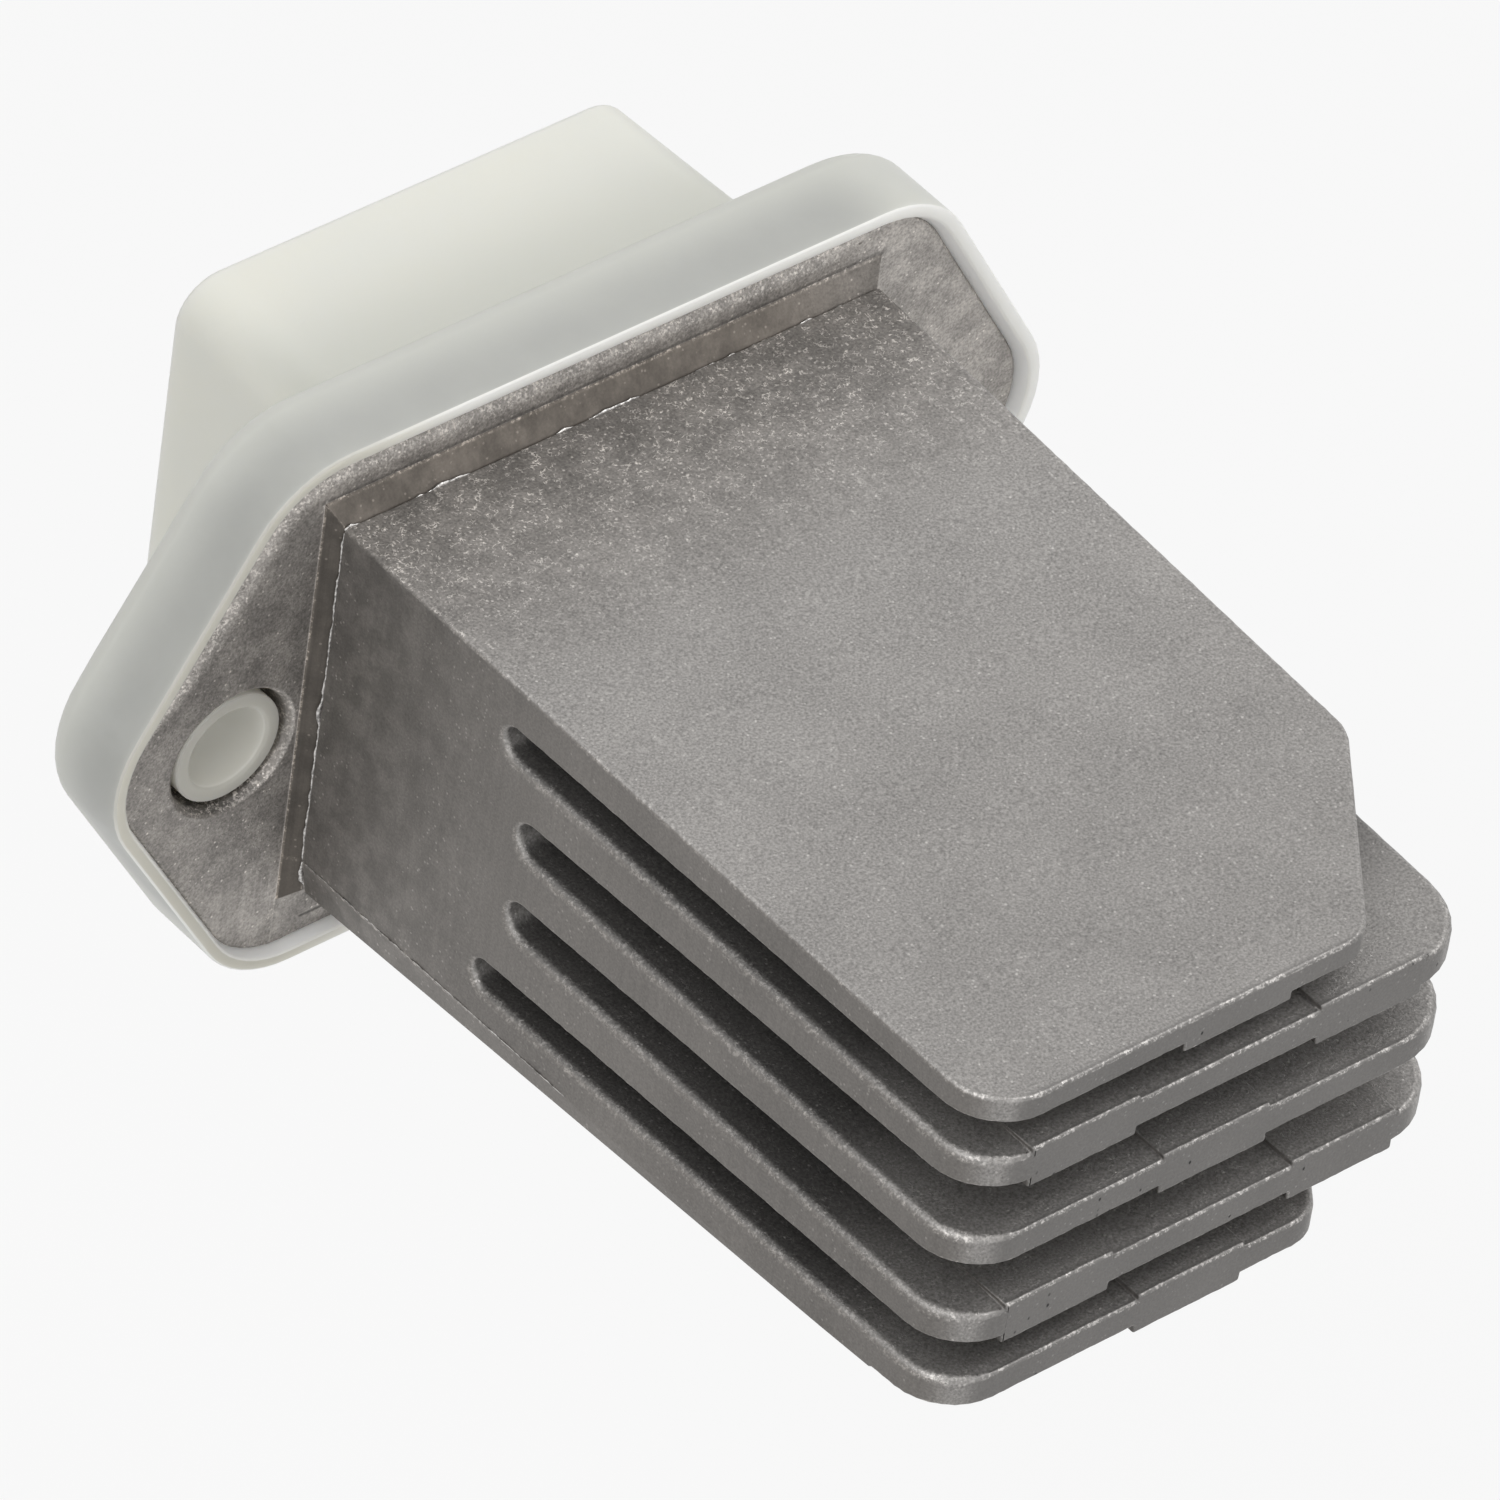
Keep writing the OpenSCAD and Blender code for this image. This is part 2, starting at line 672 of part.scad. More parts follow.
// A terminal: a tail through the board, and a blade with a chamfered end in the socket
module terminal(index) {
    x = TERMINALS[index][0];
    half = TERMINALS[index][1] / 2;
    tail = TERMINALS[index][2] / 2;
    lead_in = blade_t;
    color([0.8, 0.76, 0.6]) translate([x, 0, socket_z - blade_t / 2]) linear_extrude(blade_t)
        polygon([[-tail, tail_end], [tail, tail_end], [tail, board_back], [half, board_back],
                 [half, blade_tip - lead_in], [half - lead_in, blade_tip], [lead_in - half, blade_tip],
                 [-half, blade_tip - lead_in], [-half, board_back], [-tail, board_back]]);
}

module ground_terminal() { terminal(0); }
module control_terminal() { terminal(1); }
module sense_terminal() { terminal(2); }
module motor_terminal() { terminal(3); }

// Moves pieces to a place on the back of the board
module on_board(at) {
    translate([at.x, board_back, rim_z + at.y]) children();
}

// A can capacitor with its crimped groove and rolled top edge
module smoothing_capacitor() {
    r = capacitor_d / 2;
    groove = 0.4;
    groove_y = 4 * groove;
    color([0.16, 0.17, 0.22]) on_board(capacitor_at) rotate([-90, 0, 0]) rotate_extrude()
        polygon([[0, 0], [r - groove, 0], [r, groove],
                 [r, groove_y - groove], [r - groove, groove_y], [r, groove_y + groove],
                 [r, capacitor_h - groove], [r - groove, capacitor_h], [0, capacitor_h]]);
}

// A wire loop along X that stands on the board
module wire_loop(span, rise) {
    for (x = [-span / 2, span / 2]) bar(wire_d, x, 0, 0, rise);
    translate([-span / 2, rise, 0]) rotate([0, 90, 0]) cylinder(d = wire_d, h = span);
    for (x = [-span / 2, span / 2]) translate([x, rise, 0]) sphere(d = wire_d);
}

// A barrel diode held by its two bent leads
module freewheel_diode() {
    rise = diode_d / 2;
    color(epoxy) on_board(diode_at) union() {
        translate([-diode_len / 2, rise, 0]) rotate([0, 90, 0]) cylinder(d = diode_d, h = diode_len);
        wire_loop(diode_len + 2 * diode_reach, rise);
    }
}

// A flat diode with a lead frame foot at each end
module surge_diode() {
    color(epoxy) on_board(surge_at) union() {
        chip(surge_size);
        for (side = [-1, 1]) translate([0, 0, side * surge_size.z / 2]) chip(surge_foot);
    }
}

// The control chip with four feet on each long side
module control_chip() {
    foot_z = (chip_size.z + chip_foot.z) / 2 - play;
    color(epoxy) on_board(chip_at) union() {
        chip(chip_size);
        for (k = [-1.5 : 1.5], side = [-1, 1]) translate([k * chip_pitch, 0, side * foot_z]) chip(chip_foot);
    }
}

module current_shunt() {
    color([0.72, 0.5, 0.36]) on_board(shunt_at) wire_loop(shunt_span, shunt_rise);
}

module chip_resistors() {
    color([0.14, 0.14, 0.15]) for (column = [-1 : 1], row = [-0.5, 0.5])
        on_board(resistors_at + [column * resistor_pitch.x, row * resistor_pitch.y]) chip(resistor_size);
}

module chip_capacitors() {
    color([0.66, 0.55, 0.4]) for (row = [-1 : 1])
        on_board(capacitors_at + [0, row * ceramic_pitch]) chip(ceramic_size);
}

heat_sink();
housing();
sealant_bead();
circuit_board();
insulating_films();
left_transistor_tab();
left_transistor_body();
right_transistor_tab();
right_transistor_body();
transistor_screws();
board_screws();
ground_terminal();
control_terminal();
sense_terminal();
motor_terminal();
smoothing_capacitor();
freewheel_diode();
surge_diode();
control_chip();
current_shunt();
chip_resistors();
chip_capacitors();
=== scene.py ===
# The looks of a heater blower's speed controller: a cast heat sink with five fins, seated in a
# pale nylon housing that holds the circuit board and the plug socket. Sizes are in millimetres
# in the solids' own frame: the fins point to -Y, Z is up, and MM turns them into metres.
import json
from math import ceil, cos, exp, pi, radians

import bmesh
import bpy
from mathutils import Matrix, Vector, geometry, noise

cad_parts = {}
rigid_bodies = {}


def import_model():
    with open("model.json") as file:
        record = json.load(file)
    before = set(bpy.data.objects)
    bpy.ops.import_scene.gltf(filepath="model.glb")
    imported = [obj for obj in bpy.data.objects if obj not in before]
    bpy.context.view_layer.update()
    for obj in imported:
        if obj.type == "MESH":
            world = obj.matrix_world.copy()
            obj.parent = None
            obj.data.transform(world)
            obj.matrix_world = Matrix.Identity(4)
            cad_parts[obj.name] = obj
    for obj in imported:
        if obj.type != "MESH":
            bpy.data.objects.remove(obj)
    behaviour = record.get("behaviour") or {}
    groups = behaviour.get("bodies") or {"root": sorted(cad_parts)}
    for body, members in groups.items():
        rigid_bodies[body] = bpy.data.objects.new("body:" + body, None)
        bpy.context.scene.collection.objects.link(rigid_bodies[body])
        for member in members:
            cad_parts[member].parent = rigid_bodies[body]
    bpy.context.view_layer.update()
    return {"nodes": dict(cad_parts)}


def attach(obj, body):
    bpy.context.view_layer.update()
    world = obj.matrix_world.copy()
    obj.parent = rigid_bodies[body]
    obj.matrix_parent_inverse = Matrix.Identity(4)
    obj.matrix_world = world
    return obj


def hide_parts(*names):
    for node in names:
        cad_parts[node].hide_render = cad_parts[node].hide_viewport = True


for stray in list(bpy.data.objects):
    bpy.data.objects.remove(stray)
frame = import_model()
MM = 0.001

# Heat sink: one aluminium die casting of flange plate, neck and fin block, bead-blasted after
# casting. The blasting rounds its edges, most of all the upper edges of the slots, and leaves a
# fine grain, while the drafted sides keep the draw marks of the die. The grain's glitter is painted
# highlight, and much of the casting's light and shade is painted into its colour.
fin_ends_y = -57.65
fin_tip_length = 6
pad_x = 17.6
pads_y = -46
block_top_z = 12.8
block_left_x = -20
parting_y = -1.45
parting_top_z = 15.2
neck_x = 20.5
neck_low_z = -13.5
neck_top_z = 15.7
foot_x = 20.75
foot_top_z = 16.7
foot_drop = 0.45
plate_front_y = -0.4
plate_side_y = 1.0
plate_back_y = 3.5
plate_taper = (0.95242, 0.92329)
rim_z = 1.1
right_edge_x = 18.5
screw_x = 25.5
screw_reach = 5.5
weld_distance = 0.02
flat_angle = radians(0.6)
sharp_angle = radians(20)
grain_jitter = 0.03


class Tone:
    """A shader socket. Arithmetic on it adds Math nodes, and node() adds any other kind."""

    def __init__(self, tree, socket=None):
        self.tree = tree
        self.socket = socket

    def node(self, kind, settings=None, inputs=None, output=0):
        """Adds a node: its settings are set first, and then its inputs are set or linked."""
        made = self.tree.nodes.new("ShaderNode" + kind)
        for name, value in (settings or {}).items():
            setattr(made, name, value)
        for name, value in (inputs or {}).items():
            self.feed(made.inputs[name], value)
        return Tone(self.tree, made.outputs[output])

    def feed(self, socket, value):
        """Links another tone to a socket, or sets the socket's own value."""
        if isinstance(value, Tone):
            self.tree.links.new(value.socket, socket)
        else:
            socket.default_value = value

    def maths(self, operation, *values):
        """One Math node on values and tones."""
        return self.node("Math", {"operation": operation}, dict(enumerate(values)))

    def __add__(self, other):
        return self.maths("ADD", self, other)

    def __radd__(self, other):
        return self.maths("ADD", other, self)

    def __sub__(self, other):
        return self.maths("SUBTRACT", self, other)

    def __rsub__(self, other):
        return self.maths("SUBTRACT", other, self)

    def __mul__(self, other):
        return self.maths("MULTIPLY", self, other)

    def __rmul__(self, other):
        return self.maths("MULTIPLY", other, self)

    def __abs__(self):
        return self.maths("ABSOLUTE", self)

    def part(self, axis):
        """One axis of a vector."""
        return self.node("SeparateXYZ", None, {0: self}, "XYZ".index(axis))

    def stretched(self, x, y, z):
        """A place scaled by its own factor along each axis."""
        return self.node("VectorMath", {"operation": "MULTIPLY"}, {0: self, 1: (x, y, z)})

    def rise(self, low, high):
        """Goes smoothly from 0 at low to 1 at high. High may lie below low."""
        return self.node("MapRange", {"interpolation_type": "SMOOTHSTEP"},
                         {"Value": self, "From Min": low, "From Max": high})

    def within(self, low, high, edge):
        """1 between two values, falling to 0 over an edge outside them."""
        return self.rise(low - edge, low) * self.rise(high + edge, high)

    def grain(self, scale, detail=2, roughness=0.5):
        """Noise at a place, with so many waves in each unit."""
        return self.node("TexNoise", None, {"Vector": self, "Scale": scale, "Detail": detail,
                                            "Roughness": roughness})

    def dots(self, scale, share, size):
        """Round dots in a share of the cells of a pattern, with so many cells in each unit."""
        spread = {"Vector": self, "Scale": scale}
        cell = self.node("TexVoronoi", None, spread, "Color").part("X")
        chosen = cell.rise(1 - share, 1 - share * 0.6)
        return chosen * self.node("TexVoronoi", None, spread, "Distance").rise(size, size * 0.4)

    def mixed(self, low, high):
        """A colour between two others: low at 0 and high at 1."""
        return self.node("Mix", {"data_type": "RGBA"}, {0: self, 6: low, 7: high}, 2)


class Finish:
    """A material with one Principled shader, whose plain values sit on the shader's own sockets."""

    def __init__(self, name, values):
        self.material = bpy.data.materials.new(name)
        self.material.use_nodes = True
        tree = self.material.node_tree
        self.shader = tree.nodes["Principled BSDF"]
        self.tone = Tone(tree)
        coordinates = self.tone.node("TexCoord", output="Object")
        self.place = coordinates.node("VectorMath", {"operation": "SCALE"},
                                      {0: coordinates, "Scale": 1 / MM}, 0)
        self.normal = self.tone.node("NewGeometry", output="Normal")
        self.set(values)

    def set(self, values):
        """Sets or links the shader's sockets."""
        for name, value in values.items():
            self.tone.feed(self.shader.inputs[name], value)

    def relief(self, height, depth):
        """Bumps the surface by a height of 0 to 1, where 1 is that depth."""
        bump = self.tone.node("Bump", None, {"Height": height, "Distance": depth * MM})
        self.tone.feed(self.shader.inputs["Normal"], bump)


def grey(level, warmth=0.0):
    """A grey that is a little warmer or cooler than neutral, as a shader colour."""
    return (level * (1 + warmth), level, level * (1 - warmth), 1)


def split_edge(edge, longest):
    """Cuts an edge into equal lengths, none longer than that, and returns them."""
    lengths = []
    count = ceil(edge.calc_length() / longest)
    start = edge.verts[0]
    for left in range(count, 1, -1):
        piece, start = bmesh.utils.edge_split(edge, start, 1 / left)
        lengths.append(piece)
    return lengths + [edge]


def inner_triangles(triangles, seams):
    """The triangles inside an outline of seams, holes left out. It is found from the outermost
    triangles inwards, as each seam leads from outside to inside or back."""
    sides = {}
    for k, (a, b, c) in enumerate(triangles):
        for side in ((a, b), (b, c), (c, a)):
            sides.setdefault(frozenset(side), []).append(k)
    neighbours = [[] for _ in triangles]
    queue = []
    for side, owners in sides.items():
        if len(owners) == 1:
            queue.append((owners[0], side in seams))
        else:
            for owner, other in (owners, owners[::-1]):
                neighbours[owner].append((other, side in seams))
    within = {}
    for k, kept in queue:
        if k not in within:
            within[k] = kept
            queue.extend((other, kept != crosses) for other, crosses in neighbours[k])
    return [triangles[k] for k, kept in within.items() if kept]


def refill_flats(form):
    """Fills each flat that is made of several faces anew, from its outline and holes. A flat whose
    outline crosses itself stays as it is."""
    level_within = cos(radians(0.2))
    groups = []
    seen = set()
    for face in form.faces:
        if face in seen or face.material_index:
            continue
        seen.add(face)
        group = [face]
        for member in group:
            for other in dict.fromkeys(other for edge in member.edges for other in edge.link_faces):
                level = other.normal.dot(face.normal) > level_within
                if level and other not in seen and not other.material_index:
                    seen.add(other)
                    group.append(other)
        if len(group) > 1:
            groups.append(group)
    for group in groups:
        members = set(group)
        outline = [edge for face in group for edge in face.edges
                   if sum(other in members for other in edge.link_faces) == 1]
        points = list(dict.fromkeys(point for edge in outline for point in edge.verts))
        number = {point: k for k, point in enumerate(points)}
        upright = group[0].normal.to_track_quat("Z", "Y").inverted()
        spots = [(upright @ (point.co / MM)).to_2d() for point in points]
        seams = [[number[point] for point in edge.verts] for edge in outline]
        filled = geometry.delaunay_2d_cdt(spots, seams, [], 0, 0.00001)
        sources = filled[3]
        if all(len(source) == 1 for source in sources):
            bmesh.ops.delete(form, geom=group, context="FACES_KEEP_BOUNDARY")
            triangles = [[sources[corner][0] for corner in triangle] for triangle in filled[2]]
            for corners in inner_triangles(triangles, {frozenset(seam) for seam in seams}):
                form.faces.new([points[corner] for corner in corners])


def evaluated(piece):
    """The mesh of a piece with its modifiers, which are then taken off it."""
    bpy.context.view_layer.update()
    shown = piece.evaluated_get(bpy.context.evaluated_depsgraph_get())
    mesh = bpy.data.meshes.new_from_object(shown)
    piece.modifiers.clear()
    return mesh


def rounded_copy(node, name, finish, rounding, widest, longest=2.0, jitter=0.0, reshape=None):
    """A copy of a solid with rounded edges. rounding(middle, face normals) gives each sharp edge
    its radius, and reshape(form) may shift its points first. The copy gets a vertex attribute that is
    1 on the roundings and fades out beside them; the finishes paint burnished edges and highlights there."""
    form = bmesh.new()
    form.from_mesh(frame["nodes"][node].data)
    bmesh.ops.remove_doubles(form, verts=form.verts, dist=weld_distance * MM)
    bmesh.ops.dissolve_limit(form, angle_limit=flat_angle, verts=form.verts, edges=form.edges)
    if reshape:
        reshape(form)
    weight = form.edges.layers.float.new("bevel_weight_edge")
    for edge in [edge for edge in form.edges if edge.calc_face_angle() > sharp_angle]:
        facing = [face.normal.copy() for face in edge.link_faces]
        for length in split_edge(edge, longest * MM):
            middle = (length.verts[0].co + length.verts[1].co) / 2 / MM
            radius = rounding(middle, *facing)
            length[weight] = radius / widest
            length.smooth = radius > 0
    for face in form.faces:
        face.smooth = True
    plain = bpy.data.meshes.new(name)
    form.to_mesh(plain)
    form.free()
    for _ in range(2):
        plain.materials.append(finish.material)
    piece = bpy.data.objects.new(name, plain)
    bpy.context.scene.collection.objects.link(piece)
    bevel = piece.modifiers.new("rounding", "BEVEL")
    bevel.limit_method = "WEIGHT"
    bevel.width = widest * MM
    bevel.segments = 4
    bevel.use_clamp_overlap = False
    bevel.loop_slide = False
    bevel.material = 1
    form = bmesh.new()
    form.from_mesh(evaluated(piece))
    bmesh.ops.dissolve_degenerate(form, dist=0.002 * MM, edges=form.edges)
    form.normal_update()
    refill_flats(form)
    bmesh.ops.recalc_face_normals(form, faces=form.faces)
    rounding_mask = form.verts.layers.float.new("rounding_mask")
    for point in form.verts:
        point[rounding_mask] = float(all(face.material_index for face in point.link_faces))
        if point[rounding_mask]:
            point.co += point.normal * noise.noise(point.co / MM * 2.3) * jitter * MM
    for face in form.faces:
        face.material_index = 0
        face.smooth = True
    clean = bpy.data.meshes.new(name)
    form.to_mesh(clean)
    form.free()
    clean.materials.append(finish.material)
    piece.data = clean
    flats = piece.modifiers.new("flats", "WEIGHTED_NORMAL")
    flats.keep_sharp = True
    piece.data = evaluated(piece)
    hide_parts(node)
    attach(piece, "root")
    return piece


cast_aluminium = Finish("cast_aluminium", {"Metallic": 0.68})
place = cast_aluminium.place
across, along, height = (place.part(axis) for axis in "XYZ")
facing = cast_aluminium.normal
rounding_mask = place.node("Attribute", {"attribute_name": "rounding_mask"}, output="Fac")

# Parts of the casting, each 1 on that part and 0 elsewhere.
side = abs(facing.part("X")).rise(0.6, 0.92)
side_neck = abs(facing.part("X")).rise(0.3, 0.5)
on_top = facing.part("Z").rise(0.5, 0.9)
at_pad = abs(facing.part("X")).rise(0.1, 0.3) * abs(across).rise(pad_x + 0.1, pad_x - 0.1)
at_pad = at_pad * along.rise(pads_y + 0.5, pads_y)
fin_end = along.rise(fin_ends_y + 0.6, fin_ends_y + 0.1)
near_flange = along.rise(-20, -3)
on_plate = along.rise(plate_front_y - 0.15, plate_front_y - 0.05)
plate_round = on_plate * facing.part("Y").rise(-0.985, -0.9)
# The neck is darker: partly its own brown oxide, partly painted shade under the overhang of the fin block.
neck = along.within(parting_y + 0.02, plate_front_y - 0.03, 0.03)
neck = neck * (1 - 0.6 * across.rise(10, 20))
right_plate = on_plate * across.rise(16, 21)
# Painted shade: the fins' upper faces inside the slots, near their ends.
slot_shade = on_top * height.rise(11.8, 11.3) * along.rise(-53, -44)
at_foot = along.rise(plate_front_y - 0.4, plate_front_y - 0.2)
# Painted shade: a soft dark line along the top of the neck's foot, where the plate steps back.
foot_shade_line = height.within(foot_top_z, foot_top_z + 0.1, 0.25) * abs(across).rise(foot_x + 0.5, foot_x)
foot_shade_line = foot_shade_line * at_foot
foot_edge = abs(across).within(foot_x, foot_x + 0.05, 0.05) * height.rise(foot_top_z, foot_top_z - 1)
foot_edge = foot_edge * on_plate
below_strip_line = height - 0.0087 * along
# Painted light: the bevelled strip low on the side is made a little lighter.
strip = side * below_strip_line.rise(-10.25, -10.4) * along.rise(-42, -18)
# Painted highlight: a speckled bright line along the strip's upper edge.
strip_edge_highlight = side * below_strip_line.within(-10.5, -10.3, 0.1) * along.rise(-26, -12)
scrape = on_plate * abs(across).within(20.9, 25, 2.5) * height.within(-14.5, -12, 3)
# Painted shade: a short dark line low on the plate, in place of a small groove.
groove = on_plate * across.within(-18.6, -16.2, 0.2) * height.within(-16.15, -16.05, 0.1)

# Textures of the blasted and the drawn surfaces.
fine = place.grain(6, 2, 0.55)
coarse = place.grain(3.4, 3, 0.65).rise(0.5, 0.66)
blotches = place.grain(0.16, 2)
curls = 1 - abs(place.grain(2.6, 2, 0.6) - 0.5).rise(0.0, 0.045)
flecks = curls * place.grain(2.4, 1).rise(0.48, 0.62)
streaks = place.stretched(2.6, 2.6, 0.1).grain(1, 3, 0.6)
mottle = place.grain(0.55, 2).rise(0.35, 0.65)
# Painted highlight: sparse bright dots stand in for glitter of light on the blasted grain.
painted_glints = place.dots(4.5, 0.06, 0.5)
pits = place.stretched(1, 1, 0.7).dots(2.2, 0.05, 0.3) * fin_end
blasted = (1 - 0.5 * side - 0.6 * fin_end) * (1 - 0.7 * neck)
# Lighter roundings and plate rim: partly burnished by the blasting, partly painted highlight where the
# rounded edges catch light. There is less of it on the pads and on the right of the plate.
wear_and_sheen = rounding_mask.maths("MAXIMUM", rounding_mask * (1 - 0.8 * at_pad), plate_round) * (1 - 0.7 * right_plate)
wear_and_sheen = wear_and_sheen * (0.45 + 0.55 * plate_round.maths("MAXIMUM", plate_round, along.rise(-54, -56)))

# How bright the metal is: its grain, blotches, draw marks and flecks, with painted shade and
# painted highlights laid over them.
level = 1 + blasted * (1.5 * fine - 0.75) + 0.3 * (blotches - 0.5)
level = level + (0.25 * side + 0.6 * neck) * (streaks - 0.5)
# Painted shade: the drafted sides are darker than the top. The top darkens towards the flange, partly from
# its darker oxide and partly as painted shade.
level = level * (1 - 0.3 * near_flange * (1 - side)) * (1 - 0.36 * side) * (1 - 0.38 * fin_end)
# Painted shade: the fins darken towards their ends. Painted light: the right of the plate is lighter.
level = level * (1 - 0.09 * along.rise(-25, -50)) * (1 + 0.42 * on_plate) * (1 + 0.2 * right_plate)
level = level * (1 - 0.55 * slot_shade) + 0.08 * strip
level = level * (1 - (0.36 + 0.24 * side_neck) * neck) * (1 - 0.4 * foot_shade_line)
level = level * (1 - 0.6 * groove) - 0.5 * pits
level = level * (1 + 0.3 * near_flange * (mottle - 0.5)) + scrape * (streaks - 0.35)
level = level + strip_edge_highlight * (0.1 + 0.9 * coarse)
level = level + flecks * blasted * (0.15 + near_flange * on_top * (0.7 + 0.9 * mottle))
level = level + painted_glints * blasted * (0.5 + 0.6 * near_flange)
level = level + wear_and_sheen * (0.05 + 0.9 * coarse + 0.8 * flecks) + 0.3 * foot_edge
metal = (near_flange + side).mixed(grey(0.74, 0.04), grey(0.74, 0.065))
metal = neck.mixed(metal, grey(0.74, 0.13))
cast_aluminium.set({"Base Color": (level * 0.41).mixed(grey(0.0), metal),
                    "Roughness": 0.5 - 0.14 * painted_glints - 0.1 * rounding_mask + 0.08 * fine})
grain_height = (0.7 * fine + 0.5 * painted_glints + 0.4 * flecks) * blasted
cast_aluminium.relief(grain_height + streaks * side * 0.2 - pits, 0.03)


def trimmed(place):
    """0 along the plate's top and its upper left edge, and 1 along its other edges. It rises over
    9 mm of height down the left edge, and over 6 mm at the right end of the top."""
    share = min(max((rim_z + 8 - place.z) / 9, (place.x - 15.5) / 6, 0), 1)
    return share * share * (3 - 2 * share)


def trued(place):
    """Where a point of the plate goes. The neck's foot is drawn out on the plate, the mouths of its
    holes are drawn in, and its lower and right edges come nearer to the rim."""
    x, y, z = place
    hole = Vector((screw_x if x > 0 else -screw_x, y, 0))
    on_front = y < plate_front_y + 0.01
    if abs(x) < neck_x and neck_low_z < z < neck_top_z:
        at_end = z > neck_top_z - 0.3 or z < neck_low_z + 0.3
        if on_front and abs(x) > neck_x - 0.3 and at_end:
            return Vector((foot_x if x > 0 else -foot_x, y, foot_top_z if z > 0 else z - foot_drop))
        return place
    if (place - hole).length < screw_reach:
        return hole + (place - hole) * 0.93 if on_front else place
    near = trimmed(place)
    if on_front:
        drawn_out = near * (0.95 if x < right_edge_x else 0.75)
        x += x * (1 / plate_taper[0] - 1) * drawn_out
        z += (z - rim_z) * (1 / plate_taper[1] - 1) * drawn_out
    return Vector((x * (1 + 0.009 * near), y, z + (z - rim_z) * 0.015 * near))


def plate_edge(form):
    """The long faces round the flange plate: its chamfer and the wall behind that."""
    found = []
    for face in form.faces:
        middle = face.calc_center_median() / MM
        wide, tall = abs(middle.x), abs(middle.z - rim_z)
        outer = max(wide / 33, tall / 17, (wide + tall) / 38) > 0.9
        longest = max(side.calc_length() for side in face.edges) / MM
        sloped = abs(face.normal.y) < 0.98
        if outer and sloped and longest > 4 and plate_front_y < middle.y < plate_back_y:
            found.append(face)
    return found


def true_plate(form):
    """Moves the points of the flange plate. Before that, the triangles of its chamfer are joined on
    the left, and its edge is cut crosswise into short lengths where the chamfer changes."""
    edge = set(plate_edge(form))
    folds = [side for side in form.edges
             if len(side.link_faces) == 2 and edge.issuperset(side.link_faces)
             and side.calc_face_angle() < radians(8)
             and max(point.co.x for point in side.verts) < 0]
    bmesh.ops.dissolve_edges(form, edges=folds, use_verts=False)
    edge = plate_edge(form)
    for cut_x in (*range(-33, -25), *range(15, 23)):
        around = dict.fromkeys(part for face in edge for part in (*face.verts, *face.edges))
        cut = bmesh.ops.bisect_plane(form, geom=edge + list(around), dist=weld_distance * MM,
                                     plane_co=(cut_x * MM, 0, 0), plane_no=(1, 0, 0))
        edge = [part for part in cut["geom"] if isinstance(part, bmesh.types.BMFace)]
    for point in form.verts:
        if plate_front_y - 0.01 < point.co.y / MM < plate_back_y + 0.1:
            point.co = trued(point.co / MM) * MM
    form.normal_update()


def casting_radius(middle, first, second):
    """Rounding of an edge of the casting, from where it lies and which way its two faces look. It
    goes from the plate forwards to the fins."""
    across, level_face = sorted((first, second), key=lambda normal: abs(normal.z))
    if middle.y > plate_side_y + 0.2:
        return 0.08
    if middle.y > plate_front_y - 0.05:
        at_side = middle.y > plate_side_y - 0.05
        at_hole = Vector((abs(middle.x) - screw_x, middle.z)).length < screw_reach
        if not at_side and min(first.y, second.y) > -0.98 and not at_hole:
            return 0
        at_neck = abs(middle.x) < foot_x + 0.1 and neck_low_z - 0.5 < middle.z < foot_top_z + 0.1
        share = 0.55 if at_side else 1
        return 0 if at_neck else 0.2 if at_hole else share * (0.68 - 0.48 * trimmed(middle))
    if middle.y > parting_y - 0.05:
        return 0.08
    if abs(across.x) > 0.9 and abs(middle.x) < pad_x and middle.y < pads_y:
        return max(0.16 * (1 - (middle.y - fin_ends_y) / 2.5), 0)
    at_tip = middle.y < fin_ends_y + fin_tip_length
    sidewise = max(abs(first.x), abs(second.x))
    flat = first if abs(first.x) < abs(second.x) else second
    if level_face.z > 0.7 and middle.z > block_top_z:
        return 0.25 + 0.05 * abs(across.x)
    if level_face.z < -0.7 and middle.z < -9.7:
        return 0.2 if at_tip else 0
    if not at_tip:
        return 0.42 + 0.23 * flat.z
    if level_face.z > 0:
        return 0.22 + 0.43 * sidewise
    return 0.15 + 0.04 * sidewise


heat_sink = rounded_copy("heat_sink", "heat_sink_casting", cast_aluminium, casting_radius, widest=0.75,
                         longest=0.5, jitter=grain_jitter, reshape=true_plate)

# Casting flash: thin ragged ridges of aluminium that were pressed into the joints of the die. They
# stand along the left and upper edges of the parting line, and along the line where the side
# strip begins.
flash_half_width = 0.05
flash_root = 0.08
flash_step = 0.18
strip_top = Vector((block_left_x, parting_y, -10.31))
strip_end = Vector((-19.54, -25, -10.51))
strip_foot = Vector((-19.6, parting_y, -12.5))

bright_aluminium = Finish("bright_aluminium", {"Metallic": 0.8, "Roughness": 0.38})
place = bright_aluminium.place
patches = place.grain(3.5, 2).rise(0.3, 0.65)
bright_aluminium.set({"Base Color": patches.mixed(grey(0.2, 0.04), grey(0.66, 0.03))})
bright_aluminium.relief(place.grain(5, 2), 0.03)


